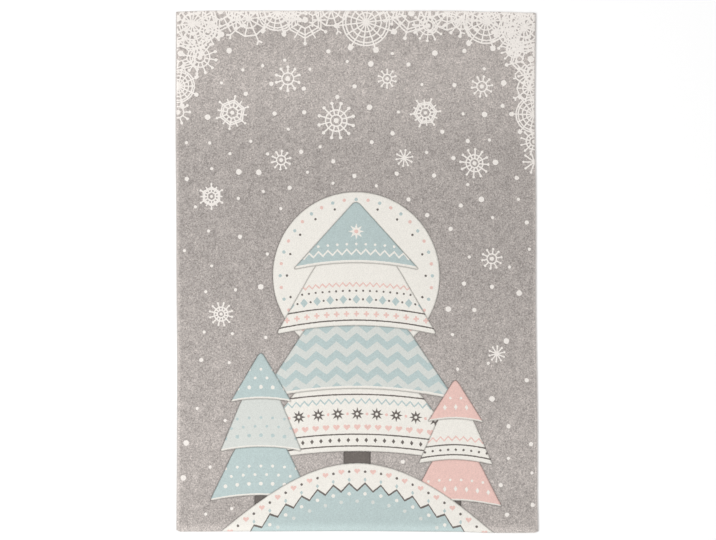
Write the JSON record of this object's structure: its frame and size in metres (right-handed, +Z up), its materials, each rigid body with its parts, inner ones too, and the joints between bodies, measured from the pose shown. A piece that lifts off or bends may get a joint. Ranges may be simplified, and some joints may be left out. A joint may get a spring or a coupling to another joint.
{
  "type": "rectangular kids rug",
  "caption": "Rectangular woven cut-pile rug with fir trees, a full moon and a snowy mound carved into its pile and overcast long edges; it lies flat on a floor.",
  "frame": {"origin": "on the floor, under the middle of the box round the rug", "axes": "+Z up out of the pile, +Y along the rug's length towards the snowy end of its pattern, +X to the right across it"},
  "size_m": [1.6078, 2.3105, 0.0137],
  "materials": {
    "pile": "heathered grey cut pile with cream, aqua and pink figures",
    "overcast_yarn": "thick yarn wrapped closely round the edge"
  },
  "bodies": {
    "root": {"rug_body": "pile", "overcast_left": "overcast_yarn", "overcast_right": "overcast_yarn"}
  },
  "joints": []
}
